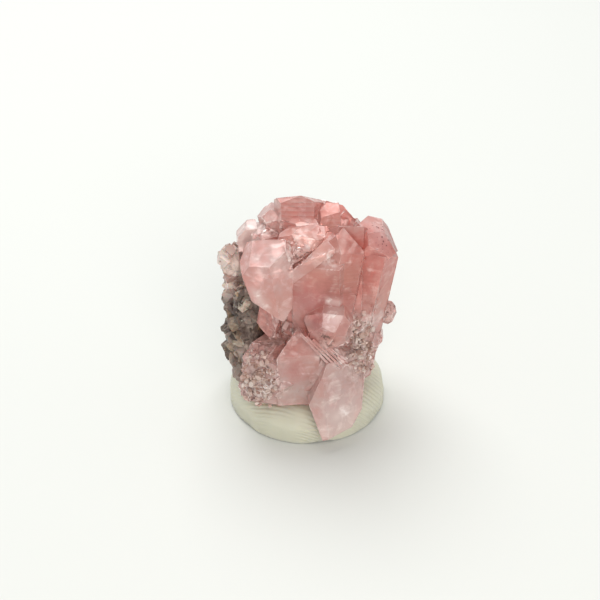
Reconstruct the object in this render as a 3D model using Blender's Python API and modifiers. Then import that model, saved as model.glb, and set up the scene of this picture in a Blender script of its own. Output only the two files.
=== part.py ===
"""Cobaltoan calcite cluster: pink calcite crystals grown on a rind of rock, seated in a pad of putty.

Frame: the origin is the middle of the putty's underside, +Z is up, and the large crystal heads
look towards -Y, which is the front.  Bodies are shaped in millimetres and scaled to metres once.

Directions are compass angles in degrees: azimuth 0 looks to the front, 90 to the right (+X),
180 to the back, and lift is the angle above the horizon.
"""
import math

import bmesh
import bpy
import numpy as np
from mathutils import Matrix, Vector

# ---- Driving dimensions, millimetres and degrees -------------------------------------------

MM = 0.001              # metres in a millimetre
CLEARANCE = 0.3         # gap between pieces that touch on the real specimen
UP = Vector((0.0, 0.0, 1.0))

NAILHEAD_SLOPE = 26.3   # a flat rhombohedral cap's faces, measured from the plane across the axis

PUTTY_RADIUS = 8.0
PUTTY_HEIGHT = 3.5
PUTTY_EDGE = 1.9        # rounding of the pad's rim
PUTTY_TUCK = 0.6        # how far the underside's edge is drawn in
PUTTY_SWEEP = (-40, 90)  # where the rim's rounding starts and ends
PUTTY_STEPS = 7
PUTTY_SIDES = 56

FOOT_MIDDLE = Vector((0.0, -0.4, 0.0))
FOOT_RADIUS = 5.5       # the part of the specimen that is pressed into the putty
FOOT_SIDES = 10
FOOT_BOTTOM = 2.6
FOOT_TOP = 4.7

SOCKET_AZIMUTH = -132   # the rock lies behind and to the left of this parting plane
SOCKET_LIFT = 6
SOCKET_REACH = 2.3
SOCKET_CEILING = 17.6   # and below this one, which falls slightly to the back
CEILING_TILT = 0.1
EVERYTHING = 40         # larger than the whole specimen

CRYSTAL_COLOUR = (0.72, 0.36, 0.34, 1.0)
ROCK_COLOUR = (0.27, 0.22, 0.19, 1.0)
PUTTY_COLOUR = (0.66, 0.64, 0.50, 1.0)


# ---- Directions ----------------------------------------------------------------------------

def facing(azimuth, lift=0.0):
    """Unit vector that looks along a compass angle, raised by lift."""
    turn, rise = math.radians(azimuth), math.radians(lift)
    return Vector((math.sin(turn) * math.cos(rise), -math.cos(turn) * math.cos(rise), math.sin(rise)))


def leaning(lean, heading):
    """Rotation that tips the Z axis over by lean degrees, towards heading."""
    return Matrix.Rotation(math.radians(lean), 3, UP.cross(facing(heading)))


# ---- Bodies: a cube trimmed by flat cuts ---------------------------------------------------

def working_body(name, shape, collection):
    """A body that is joined or cut away later, from a shape in millimetres."""
    bmesh.ops.scale(shape, vec=Vector((MM, MM, MM)), verts=shape.verts)
    mesh = bpy.data.meshes.new(name)
    shape.to_mesh(mesh)
    shape.free()
    piece = bpy.data.objects.new(name, mesh)
    piece.hide_render = True
    piece.display_type = "WIRE"
    collection.objects.link(piece)
    return piece


def trimmed_cube(name, middle, reach, cuts, collection):
    """A cube about middle, cut by each (point, outward direction) and closed again."""
    shape = bmesh.new()
    bmesh.ops.create_cube(shape, size=2.0 * reach, matrix=Matrix.Translation(middle))
    for point, outward in cuts:
        geometry = shape.verts[:] + shape.edges[:] + shape.faces[:]
        result = bmesh.ops.bisect_plane(
            shape, geom=geometry, dist=1e-5, plane_co=point, plane_no=outward, clear_outer=True)
        rim = [item for item in result["geom_cut"] if isinstance(item, bmesh.types.BMEdge)]
        if rim:
            bmesh.ops.edgeloop_fill(shape, edges=rim)
    bmesh.ops.recalc_face_normals(shape, faces=shape.faces)
    return working_body(name, shape, collection)


def chips_off(middle, breaks):
    """Cuts from rows of azimuth, lift and distance from the middle."""
    return [(middle + facing(azimuth, lift) * distance, facing(azimuth, lift))
            for azimuth, lift, distance in breaks]


def crystal(collection, name, tip, lean, heading, twist, sides, length, slope, push=0.0, breaks=()):
    """A calcite crystal: three cap faces meet at the tip, above six prism faces.

    The crystal stands upright with its first cap face looking along twist, then leans over.
    sides gives each prism face's distance from the axis, slope the cap's steepness, and push
    moves the cap faces outwards, so that breaks can form the top instead.
    """
    tip = Vector(tip)
    turned = leaning(lean, heading)
    axis = turned @ UP
    distances = [sides] * 6 if isinstance(sides, (int, float)) else sides
    steep = math.radians(slope)
    cuts = []
    for third in range(3):
        outward = (turned @ facing(twist + 120 * third)) * math.sin(steep) + axis * math.cos(steep)
        cuts.append((tip + outward * push, outward))
    for sixth, distance in enumerate(distances):
        outward = turned @ facing(twist + 60 * sixth)
        cuts.append((tip + outward * distance, outward))
    cuts.append((tip - axis * length, -axis))
    cuts += chips_off(tip, breaks)
    return trimmed_cube(name, tip, 3 * max(distances) + 2 * length, cuts, collection)


def chunk(collection, name, middle, half, faces, seed, turn=0.0, jitter=0.12, breaks=()):
    """A rough rounded lump with flat faces spread about it in a seeded spiral."""
    middle, half = Vector(middle), Vector(half)
    spread = np.random.default_rng(seed)
    start = spread.uniform(0, 2 * math.pi)
    wobble = spread.normal(0, jitter, (faces, 3))
    turned = Matrix.Rotation(math.radians(turn), 3, UP)
    cuts = []
    for index in range(faces):
        fall = math.acos(1 - 2 * (index + 0.5) / faces)
        swing = start + math.pi * (1 + math.sqrt(5)) * (index + 0.5)
        ray = Vector((math.cos(swing) * math.sin(fall), math.sin(swing) * math.sin(fall),
                      math.cos(fall))) + Vector(wobble[index])
        ray.normalize()
        point = Vector(a * b for a, b in zip(ray, half)) * spread.uniform(0.85, 1.0)
        outward = Vector(a / b for a, b in zip(ray, half)).normalized()
        cuts.append((middle + turned @ point, turned @ outward))
    cuts += chips_off(middle, breaks)
    return trimmed_cube(name, middle, 1.7 * max(half), cuts, collection)


def slab(collection, name, middle, half, turn=0.0, lean=0.0, heading=0.0, breaks=()):
    """A box turned about Z, leaned over and chipped: a cleavage plate or a blocky crystal."""
    middle = Vector(middle)
    turned = leaning(lean, heading) @ Matrix.Rotation(math.radians(turn), 3, UP)
    cuts = []
    for axis in range(3):
        for side in (-1, 1):
            outward = turned @ Vector([side if axis == k else 0 for k in range(3)])
            cuts.append((middle + outward * half[axis], outward))
    cuts += chips_off(middle, breaks)
    return trimmed_cube(name, middle, 3 * max(half), cuts, collection)


def druse(collection, name, middle, half, look, count, radius, seed, root=2.0):
    """Small crystals over a patch that looks along look; half is across, up and in or out."""
    spread = np.random.default_rng(seed)
    out = facing(*look)
    across = UP.cross(out).normalized()
    rise = out.cross(across)
    for index in range(count):
        a, b, c = (float(value) for value in spread.uniform(-1, 1, 3))
        tip = Vector(middle) + across * a * half[0] + rise * b * half[1] + out * c * half[2]
        axis = (out + Vector(spread.normal(0, 0.35, 3))).normalized()
        lean = math.degrees(math.acos(axis.z))
        heading = math.degrees(math.atan2(axis.x, -axis.y))
        size = radius * spread.uniform(0.6, 1.3)
        sides = [float(size * share) for share in spread.uniform(0.7, 1.2, 6)]
        crystal(collection, f"{name}_{index:02d}", tip, lean, heading, spread.uniform(0, 120),
                sides, root, spread.uniform(30, 60))


# ---- The crystals --------------------------------------------------------------------------

def grow_front(group):
    """The large crystals that look to the front, from the upper left to the lower right."""
    slab(group, "left_head", (-3.6, -7.1, 20.7), (6, 6, 8), breaks=(
        (-25, 58, 0), (-15, 5, 0), (30, 12, 0), (-78, 30, 1.4), (-85, -18, 2.8), (-60, -50, 3.9),
        (80, 20, 1.6), (95, -2, 2.3), (75, -30, 4.1), (180, 49, 2.7), (-114, 6, 3.5), (0, -60, 5.3)))
    crystal(group, "left_twin", (-3.6, -5.2, 14.6), 54, -19, -177,
            (1.2, 1.4, 2.2, 2.6, 1.0, 0.9), 4.5, 33)
    slab(group, "frosted_block", (-5.9, 0.6, 19.2), (0.95, 0.8, 1.4), turn=8, lean=4,
         breaks=((-90, 40, 0.95),))
    crystal(group, "upper_left", (-3.6, 0.6, 22.3), 16, -60, 0, (1.1, 1.3, 1.6, 1.6, 1.6, 1.1), 6, 30)
    crystal(group, "upper_ledge", (-4.0, -0.6, 20.8), 10, -10, 20,
            (0.9, 1.2, 1.4, 1.4, 1.4, 1.1), 6, 24)
    crystal(group, "summit", (-1.0, 0.2, 23.8), 10, 180, -4, (0.9, 1.9, 2.4, 3.0, 2.2, 1.75), 8, 24,
            push=5.0, breaks=((180, 48, 0), (120, 60, 0.6), (-60, 62, 0.75)))
    slab(group, "summit_right", (2.2, -1.2, 22.8), (3, 3, 6), breaks=(
        (-5, 58, 0), (12, 8, 0), (180, 50, 1.2), (95, 5, 0.9), (-75, 10, 0.9), (-100, 45, 0.9),
        (70, 50, 0.8)))
    crystal(group, "rear_peak", (3.6, 1.2, 21.7), 5, 60, 10, (1.3, 1.2, 1.6, 3.0, 1.6, 0.8), 8, 45)
    crystal(group, "centre_prism", (1.0, -3.2, 20.9), 3, 0, -8, (2.3, 3.2, 2.4, 2.4, 2.4, 3.0), 12, 30)
    crystal(group, "centre_spire", (3.3, -4.0, 23.1), 8, 90, 12,
            (1.3, 2.4, 2.2, 2.6, 1.6, 0.8), 12, 58)
    crystal(group, "shaded_wall", (4.1, -3.2, 22.6), 3, 180, 4,
            (0.5, 1.2, 2.2, 3.2, 2.2, 1.4), 10, 30, push=3.0, breaks=((180, 48, 0.0),))
    crystal(group, "right_head", (7.2, -2.6, 21.8), 39, 65, -121,
            (2.1, 1.75, 1.8, 2.3, 1.9, 2.0), 4.2, NAILHEAD_SLOPE)
    crystal(group, "right_stem", (6.5, -2.4, 20.7), 9, 90, -12,
            (1.5, 1.9, 2.3, 1.3, 1.3, 1.6), 16, NAILHEAD_SLOPE, breaks=((90, 45, 0.2),))
    chunk(group, "rose_knob", (2.2, -5.0, 12.7), (2.5, 2.3, 2.8), 24, 3, jitter=0.06)
    crystal(group, "lower_peak", (-0.9, -5.6, 12.7), 3, 0, 6, (1.25, 2.3, 2.8, 2.6, 2.6, 2.5), 9, 64)
    slab(group, "spear", (1.5, -9.3, 1.5), (6, 4.5, 8), breaks=(
        (-12, 12, 0), (30, 14, 0.4), (-80, -17, 0), (-88, 22, 2.6), (45, -58, 0), (85, -30, 2.1),
        (95, -5, 3.9), (10, 55, 5.6)))


def grow_details(group):
    """Cleavage plates, chips on the broken centre prism, and the two druse patches in front."""
    for index in range(5):
        place = (0.9 + 0.4 * index, -6.35 + 0.1 * index, 10.6 - 0.1 * index)
        slab(group, f"cleavage_{index}", place, (0.11, 0.75, 3.0 - 0.4 * index), turn=15 + 2 * index,
             lean=36 + 2 * index, heading=-88)
    slab(group, "crest", (0.7, -4.3, 20.3), (3.4, 1.0, 0.6), turn=19, lean=31, heading=-90,
         breaks=((-60, 20, 2.6), (-10, 60, 0.75), (60, 40, 2.4)))
    slab(group, "crest_step", (-0.3, -3.7, 20.9), (2.0, 0.9, 0.4), turn=30, lean=24, heading=-95,
         breaks=((-70, 20, 1.5), (20, 50, 0.7)))
    chunk(group, "broken_top", (-0.2, -2.4, 21.0), (2.6, 2.0, 1.2), 18, 33, turn=20)
    chunk(group, "broken_step", (-0.6, -1.0, 21.6), (2.0, 1.2, 0.8), 14, 36, turn=-25)
    druse(group, "left_druse", (-4.4, -6.5, 7.1), (2.0, 2.5, 0.2), (-14, 6), 46, 0.5, 11)
    druse(group, "right_druse", (5.2, -4.6, 10.5), (0.8, 3.5, 0.3), (25, 8), 40, 0.5, 12)


def grow_sides(group):
    """Crystals of the right flank, the back and the top's far side."""
    crystal(group, "right_high", (7.4, 1.6, 17.6), 42, 105, 10, 1.7, 7, 35)
    crystal(group, "right_middle", (8.0, 0.2, 11.6), 72, 92, 30, 1.5, 6, 30)
    crystal(group, "right_low", (6.8, -1.2, 7.0), 80, 70, 30, 1.4, 6, 40)
    crystal(group, "back_high", (2.6, 4.4, 19.8), 28, 170, 20, 1.9, 8, 30)
    crystal(group, "back_left", (-2.6, 4.6, 20.0), 30, -160, 0, 1.7, 8, 40)
    crystal(group, "back_right", (6.0, 4.6, 14.6), 60, 140, 0, 1.6, 7, NAILHEAD_SLOPE)
    crystal(group, "back_low", (5.6, 4.4, 9.0), 66, 130, 40, 1.5, 6, 35)
    crystal(group, "left_high", (-5.6, 2.0, 19.6), 30, -100, 0, 1.3, 6, 30)
    chunk(group, "side_shard", (8.1, 1.2, 9.8), (0.8, 1.0, 1.2), 14, 21)
    crystal(group, "back_middle", (2.6, 6.0, 15.8), 66, 176, 15, 1.6, 6, 30)
    crystal(group, "back_centre", (3.4, 5.9, 11.2), 74, 170, 50, 1.4, 6, 40)
    crystal(group, "back_foot", (2.4, 5.2, 6.6), 84, 176, 0, 1.5, 6, 35)
    druse(group, "back_druse", (2.3, 4.8, 12.0), (2.2, 6.0, 0.4), (165, 5), 34, 0.8, 16)
    druse(group, "top_druse", (0, 3.4, 19.5), (4.5, 1.5, 0.4), (180, 40), 16, 0.8, 14)
    druse(group, "flank_druse", (6.6, 1.5, 12.5), (2.5, 5.0, 0.4), (95, 10), 22, 0.75, 15)


def grow_mass(group):
    """The grown-together body that the crystals stand on."""
    chunk(group, "mass_top", (0.6, 1.6, 18.3), (5.2, 3.4, 3.8), 26, 6, jitter=0.05)
    chunk(group, "mass_base", (0.2, -0.6, 5.6), (6.3, 5.8, 3.9), 36, 9, jitter=0.05)
    chunk(group, "mass_front", (2.6, -5.1, 7.0), (3.1, 1.9, 3.3), 26, 12, jitter=0.05)
    slab(group, "mass_left", (-4.3, -4.4, 6.9), (2.0, 1.9, 3.3), turn=-12, lean=4, heading=10,
         breaks=((-70, 30, 2.7), (-20, 50, 2.9), (-60, -30, 3.1), (40, 40, 3.2), (-100, -5, 1.7)))
    chunk(group, "mass_right", (5.2, -3.0, 8.7), (1.5, 1.9, 3.6), 20, 10, jitter=0.05)
    return chunk(group, "mass_core", (0.8, -0.6, 12.0), (6.0, 4.6, 8.4), 34, 5, jitter=0.05)


# ---- The rock ------------------------------------------------------------------------------

ROCK_MIDDLE = Vector((-3.0, 1.6, 10.0))
ROCK_WAIST = 7.5            # height at which the ring of lumps is widest
ROCK_TAPER = 0.0045         # how fast the ring narrows above and below that


def rock_lump(group, name, place, size, spread):
    """A flattish lump, turned and thinned by the next random numbers."""
    half = (size, 0.8 * size, size * spread.uniform(0.5, 1.0))
    seed = int(spread.integers(1000))
    chunk(group, name, place, half, 11, seed, turn=spread.uniform(0, 180))


def lump_ring(group, name, middle, reach, azimuths, heights, sizes, count, seed):
    """Lumps round part of an upright ring, which narrows towards its top and bottom."""
    spread = np.random.default_rng(seed)
    for index in range(count):
        height = spread.uniform(*heights)
        swell = 1 - ROCK_TAPER * (height - ROCK_WAIST) ** 2
        place = middle + facing(spread.uniform(*azimuths)) * reach * swell
        place.z = height
        rock_lump(group, f"{name}_{index:02d}", place, spread.uniform(*sizes), spread)


def pile_rock(group):
    """A core covered with seeded ledges and lumps, round the left side and the back."""
    chunk(group, "rock_base", (-2.0, 1.8, 6.2), (4.9, 4.2, 3.6), 30, 17, jitter=0.05)
    chunk(group, "rock_shoulder", (-7.1, 1.4, 15.6), (1.7, 1.8, 1.9), 13, 19)
    chunk(group, "rock_neck", (-6.9, 0.8, 13.2), (1.3, 1.5, 1.9), 13, 22)
    chunk(group, "rock_back", (-0.1, 4.3, 10.0), (2.5, 2.0, 7.4), 24, 20, jitter=0.05)
    chunk(group, "rock_rim", (2.4, 5.2, 12.0), (1.5, 1.5, 5.6), 22, 23, jitter=0.05)
    chunk(group, "rock_front", (-4.6, -2.4, 9.5), (2.1, 2.1, 5.5), 24, 18, jitter=0.05)
    lump_ring(group, "rock_lump", ROCK_MIDDLE, 4.2, (-235, -40), (4.2, 17.0), (0.8, 1.7), 60, 4)
    lump_ring(group, "flank_lump", Vector((-4.7, -2.2, 0)), 1.9, (-110, -15), (4.8, 14.5),
              (0.6, 1.2), 20, 5)
    lump_ring(group, "back_lump", Vector((-0.1, 4.2, 0)), 2.0, (-225, -160), (4.8, 16.5),
              (0.7, 1.3), 14, 6)
    lump_ring(group, "rim_lump", Vector((2.2, 5.0, 0)), 1.5, (-250, -170), (5.5, 17.2),
              (0.6, 1.1), 14, 8)
    return chunk(group, "rock_core", ROCK_MIDDLE, (4.2, 3.8, 7.4), 30, 7, jitter=0.05)


# ---- Parting, seating and joining ----------------------------------------------------------

def socket(collection, name, grow):
    """The space the rock fills, made larger by grow on its parting planes."""
    outward = facing(SOCKET_AZIMUTH, SOCKET_LIFT)
    ceiling = Vector((0, -CEILING_TILT, 1)).normalized()
    cuts = [(outward * (SOCKET_REACH - grow), -outward),
            (UP * SOCKET_CEILING + ceiling * grow, ceiling)]
    return trimmed_cube(name, Vector((0, 0, 0)), EVERYTHING, cuts, collection)


def prism(collection, name, middle, radius, bottom, top, sides):
    """An upright regular prism."""
    shape = bmesh.new()
    place = Matrix.Translation(Vector((middle.x, middle.y, (bottom + top) / 2)))
    bmesh.ops.create_cone(shape, cap_ends=True, segments=sides, radius1=radius, radius2=radius,
                          depth=top - bottom, matrix=place)
    return working_body(name, shape, collection)


def add_boolean(piece, operation, other):
    """Join or cut a piece by an object, or by all the bodies of a collection."""
    step = piece.modifiers.new(operation.lower(), "BOOLEAN")
    step.operation = operation
    step.solver = "EXACT"
    if isinstance(other, bpy.types.Collection):
        step.operand_type = "COLLECTION"
        step.collection = other
    else:
        step.object = other


def shells(shape):
    """The faces of a mesh, sorted into connected shells, largest first."""
    left, found = set(shape.faces), []
    while left:
        start = left.pop()
        shell, queue = [start], [start]
        while queue:
            for edge in queue.pop().edges:
                for face in edge.link_faces:
                    if face in left:
                        left.remove(face)
                        shell.append(face)
                        queue.append(face)
        found.append(shell)
    return sorted(found, key=len, reverse=True)


def finished(name, worked, material, collection):
    """The evaluated body as a plain mesh, with loose crumbs and closed-in pockets dropped."""
    evaluated = worked.evaluated_get(bpy.context.evaluated_depsgraph_get())
    mesh = bpy.data.meshes.new_from_object(evaluated)
    mesh.name = name
    shape = bmesh.new()
    shape.from_mesh(mesh)
    for shell in shells(shape)[1:]:
        bmesh.ops.delete(shape, geom=shell, context="FACES")
    bmesh.ops.dissolve_limit(shape, angle_limit=math.radians(0.05), verts=shape.verts, edges=shape.edges)
    shape.to_mesh(mesh)
    shape.free()
    mesh.materials.clear()
    mesh.materials.append(material)
    piece = bpy.data.objects.new(name, mesh)
    collection.objects.link(piece)
    return piece


def make_material(name, colour, roughness, transmission=0.0):
    material = bpy.data.materials.new(name)
    material.use_nodes = True
    shader = material.node_tree.nodes["Principled BSDF"]
    shader.inputs["Base Color"].default_value = colour
    shader.inputs["Roughness"].default_value = roughness
    shader.inputs["Metallic"].default_value = 0.0
    shader.inputs["Transmission Weight"].default_value = transmission
    return material


def new_collection(name, parent=None):
    collection = bpy.data.collections.new(name)
    (parent or bpy.context.scene.collection).children.link(collection)
    return collection


def make_putty(parts, cutters):
    """A pad of putty, turned from a half outline, with a shallow pocket for the specimen's foot."""
    outline = [(0.0, 0.0), (PUTTY_RADIUS - PUTTY_TUCK, 0.0)]
    start, end = PUTTY_SWEEP
    for step in range(PUTTY_STEPS + 1):
        angle = math.radians(start + (end - start) * step / PUTTY_STEPS)
        outline.append((PUTTY_RADIUS - PUTTY_EDGE + PUTTY_EDGE * math.cos(angle),
                        PUTTY_HEIGHT - PUTTY_EDGE + PUTTY_EDGE * math.sin(angle)))
    outline.append((0.0, PUTTY_HEIGHT))
    shape = bmesh.new()
    points = [shape.verts.new((radius * MM, 0.0, height * MM)) for radius, height in outline]
    for pair in zip(points, points[1:]):
        shape.edges.new(pair)
    mesh = bpy.data.meshes.new("mounting_putty")
    shape.to_mesh(mesh)
    shape.free()
    putty = bpy.data.objects.new("mounting_putty", mesh)
    parts.objects.link(putty)
    turn = putty.modifiers.new("turn", "SCREW")
    turn.steps = PUTTY_SIDES
    turn.render_steps = PUTTY_SIDES
    turn.use_merge_vertices = True
    turn.merge_threshold = 0.00001
    turn.use_normal_calculate = True
    pocket_radius = FOOT_RADIUS + CLEARANCE / math.cos(math.pi / FOOT_SIDES)
    pocket = prism(cutters, "putty_pocket", FOOT_MIDDLE, pocket_radius, FOOT_BOTTOM - CLEARANCE,
                   PUTTY_HEIGHT + 2, FOOT_SIDES)
    add_boolean(putty, "DIFFERENCE", pocket)
    putty.data.materials.append(make_material("putty", PUTTY_COLOUR, 0.6))


def main():
    for item in list(bpy.data.objects):
        bpy.data.objects.remove(item)
    parts = new_collection("cobaltoan_calcite_cluster")
    cutters = new_collection("cutters")
    crystal_bodies = new_collection("crystal_bodies", cutters)
    rock_bodies = new_collection("rock_bodies", cutters)

    putty_room = prism(cutters, "putty_room", Vector((0, 0, 0)), PUTTY_RADIUS + CLEARANCE, -1.0,
                       PUTTY_HEIGHT + CLEARANCE, PUTTY_SIDES)
    foot = prism(cutters, "foot", FOOT_MIDDLE, FOOT_RADIUS, FOOT_BOTTOM, FOOT_TOP, FOOT_SIDES)

    mass = grow_mass(crystal_bodies)
    grow_front(crystal_bodies)
    grow_details(crystal_bodies)
    grow_sides(crystal_bodies)
    crystal_bodies.objects.unlink(mass)
    cutters.objects.link(mass)
    add_boolean(mass, "UNION", crystal_bodies)
    add_boolean(mass, "DIFFERENCE", putty_room)
    add_boolean(mass, "UNION", foot)
    add_boolean(mass, "DIFFERENCE", socket(cutters, "rock_room", CLEARANCE))
    finished("calcite_crystals", mass, make_material("calcite", CRYSTAL_COLOUR, 0.15, 0.6), parts)

    rock = pile_rock(rock_bodies)
    rock_bodies.objects.unlink(rock)
    cutters.objects.link(rock)
    add_boolean(rock, "UNION", rock_bodies)
    add_boolean(rock, "DIFFERENCE", putty_room)
    add_boolean(rock, "UNION", foot)
    add_boolean(rock, "INTERSECT", socket(cutters, "rock_bounds", 0.0))
    finished("matrix", rock, make_material("rock", ROCK_COLOUR, 0.85), parts)

    make_putty(parts, cutters)


main()
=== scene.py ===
import math

import bpy
import numpy as np
from mathutils import Matrix, Vector


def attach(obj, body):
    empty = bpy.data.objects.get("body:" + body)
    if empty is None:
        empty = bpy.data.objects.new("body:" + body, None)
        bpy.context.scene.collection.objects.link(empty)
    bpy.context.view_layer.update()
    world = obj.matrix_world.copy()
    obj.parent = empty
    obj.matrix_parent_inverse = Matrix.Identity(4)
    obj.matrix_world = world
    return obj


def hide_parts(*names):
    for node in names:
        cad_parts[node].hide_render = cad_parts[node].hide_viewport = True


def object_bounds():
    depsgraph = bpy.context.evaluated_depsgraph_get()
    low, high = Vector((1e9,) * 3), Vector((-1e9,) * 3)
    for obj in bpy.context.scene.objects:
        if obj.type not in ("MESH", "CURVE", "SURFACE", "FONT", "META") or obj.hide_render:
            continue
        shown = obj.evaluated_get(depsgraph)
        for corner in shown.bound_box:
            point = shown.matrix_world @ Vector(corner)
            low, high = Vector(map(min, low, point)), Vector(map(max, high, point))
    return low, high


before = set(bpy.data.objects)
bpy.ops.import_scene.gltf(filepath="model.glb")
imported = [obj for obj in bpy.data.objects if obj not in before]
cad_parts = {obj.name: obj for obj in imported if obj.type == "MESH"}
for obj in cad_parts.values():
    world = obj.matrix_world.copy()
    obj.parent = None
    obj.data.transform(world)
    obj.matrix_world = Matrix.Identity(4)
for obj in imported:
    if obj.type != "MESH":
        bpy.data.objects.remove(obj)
cad_box = [list(corner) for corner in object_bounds()]

# ---- The camera and the studio ------------------------------------------------------------
# A long lens looks down on the specimen from the front.  Large soft lights stand above it,
# and a pale floor carries the putty.

LOOK_DOWN = math.radians(35)
DISTANCE = 0.1417
AIM = Vector((-0.000735, 0, 0.01205))
LENS = 85                           # this and the sensor are in mm
SENSOR_WIDTH = 36
FLOOR_SIDE = 1.6

camera_data = bpy.data.cameras.new("camera")
camera = bpy.data.objects.new("camera", camera_data)
bpy.context.scene.collection.objects.link(camera)
camera_data.lens = LENS
camera_data.sensor_width = SENSOR_WIDTH
camera_data.clip_start = 0.01
camera.location = AIM + Vector((0, -math.cos(LOOK_DOWN), math.sin(LOOK_DOWN))) * DISTANCE
camera.rotation_euler = (math.pi / 2 - LOOK_DOWN, 0, 0)
bpy.context.scene.camera = camera


def linear(code):
    """An sRGB hex colour as the linear values that shaders take."""
    shares = [int(code[k:k + 2], 16) / 255 for k in (0, 2, 4)]
    return [c / 12.92 if c <= 0.04045 else ((c + 0.055) / 1.055) ** 2.4 for c in shares] + [1.0]


def softbox(name, place, target, size, power, colour):
    """A round soft light at a place, turned to a target."""
    light = bpy.data.lights.new(name, "AREA")
    light.shape = "DISK"
    light.size = size
    light.energy = power
    light.color = linear(colour)[:3]
    lamp = bpy.data.objects.new(name, light)
    bpy.context.scene.collection.objects.link(lamp)
    lamp.location = place
    lamp.rotation_euler = (Vector(target) - Vector(place)).to_track_quat("-Z", "Y").to_euler()


MIDDLE = (0, 0, 0.01)
softbox("overhead", (-0.05, 0.14, 0.30), MIDDLE, size=0.30, power=0.95, colour="ffffff")
softbox("window", (0.06, -0.28, 0.20), MIDDLE, size=0.25, power=0.55, colour="fffaf4")

world = bpy.data.worlds.new("studio")
bpy.context.scene.world = world
world.use_nodes = True
world.node_tree.nodes["Background"].inputs["Color"].default_value = linear("eceded")
world.node_tree.nodes["Background"].inputs["Strength"].default_value = 0.55
bpy.context.scene.view_settings.view_transform = "Standard"


def new_material(name, **plain):
    """A material, its node tree and its shader, whose plain sockets are set by name."""
    material = bpy.data.materials.new(name)
    material.use_nodes = True
    shader = material.node_tree.nodes["Principled BSDF"]
    for socket, value in plain.items():
        shader.inputs[socket.replace("_", " ")].default_value = value
    return material, material.node_tree, shader


bpy.ops.object.select_all(action="DESELECT")
bpy.ops.mesh.primitive_plane_add(size=FLOOR_SIDE)
floor = bpy.context.object
floor.name = "floor"

# Matt card, as milled: an even pale ground with no shine.
card, tree, shader = new_material("matt_card", Base_Color=linear("dcdeda"), Roughness=0.9)
floor.data.materials.append(card)

# ---- The calcite crystals -----------------------------------------------------------------
# Pink calcite: nail heads and spears that have grown into one another, so they are one body.
# Natural faces are never quite flat.  They carry low growth hills and steps, and their worn
# edges are paler and less clear than the inside, from wear and from a highlight painted along them.

MM = 0.001
FLAT_WITHIN = math.radians(0.6)     # triangles that turn less than this are one flat face
EDGE_WEAR = 0.07 * MM
STANDING_EDGE = math.radians(15)    # edges that turn more than this wear
CRISP_EDGE = math.radians(18)       # edges that turn more than this stay crisp
FINEST_CRYSTAL = 0.27 * MM          # longest edge left after refining
PARTING = Vector((-0.7391, 0.6655, 0.1045))    # the crystals end at this plane, against the rock
PARTING_REACH = 2.0 * MM
PARTING_SLACK = 0.4 * MM
PARTING_TOP = 17.5 * MM
SEATED_BELOW = 2.8 * MM             # what is lower than this, inside the pad, is out of sight
SEATED_RADIUS = 6.0 * MM
GROUP_STEPS = 10                    # how many strengths a vertex group is stored in


def merged_copy(name, source):
    """A copy of a solid with its triangles joined up again into its flat faces."""
    bpy.ops.object.select_all(action="DESELECT")
    piece = bpy.data.objects.new(name, source.data.copy())
    bpy.context.scene.collection.objects.link(piece)
    piece.select_set(True)
    bpy.context.view_layer.objects.active = piece
    bpy.ops.object.mode_set(mode="EDIT")
    bpy.ops.mesh.select_all(action="SELECT")
    bpy.ops.mesh.remove_doubles(threshold=0.000001)
    bpy.ops.mesh.dissolve_limited(angle_limit=FLAT_WITHIN)
    bpy.ops.object.mode_set(mode="OBJECT")
    piece.data.materials.clear()
    return piece


def read(items, key, width=1, kind=np.float32):
    """One property of every vertex, edge or face of a mesh, as an array."""
    values = np.empty(len(items) * width, dtype=kind)
    items.foreach_get(key, values)
    return values.reshape(-1, width) if width > 1 else values


def apply_modifier(piece, kind, name, **settings):
    """Adds a modifier with its settings and applies it."""
    step = piece.modifiers.new(name, kind)
    for setting, value in settings.items():
        setattr(step, setting, value)
    bpy.context.view_layer.objects.active = piece
    bpy.ops.object.modifier_apply(modifier=name)


def out_of_sight(points):
    """Which points lie on the parting plane, or on the foot inside the putty."""
    parting = np.abs(points @ np.array(PARTING) - PARTING_REACH) < PARTING_SLACK
    parting &= points[:, 2] < PARTING_TOP
    foot = points[:, 2] < SEATED_BELOW
    foot &= np.hypot(points[:, 0], points[:, 1]) < SEATED_RADIUS
    return parting | foot


def make_triangles():
    """Splits the selected faces into triangles."""
    bpy.ops.mesh.quads_convert_to_tris(quad_method="BEAUTY", ngon_method="BEAUTY")


def select_gaps():
    """Selects the edges that don't have just two faces."""
    bpy.ops.mesh.select_all(action="DESELECT")
    bpy.ops.mesh.select_non_manifold(extend=False, use_verts=False)


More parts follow.
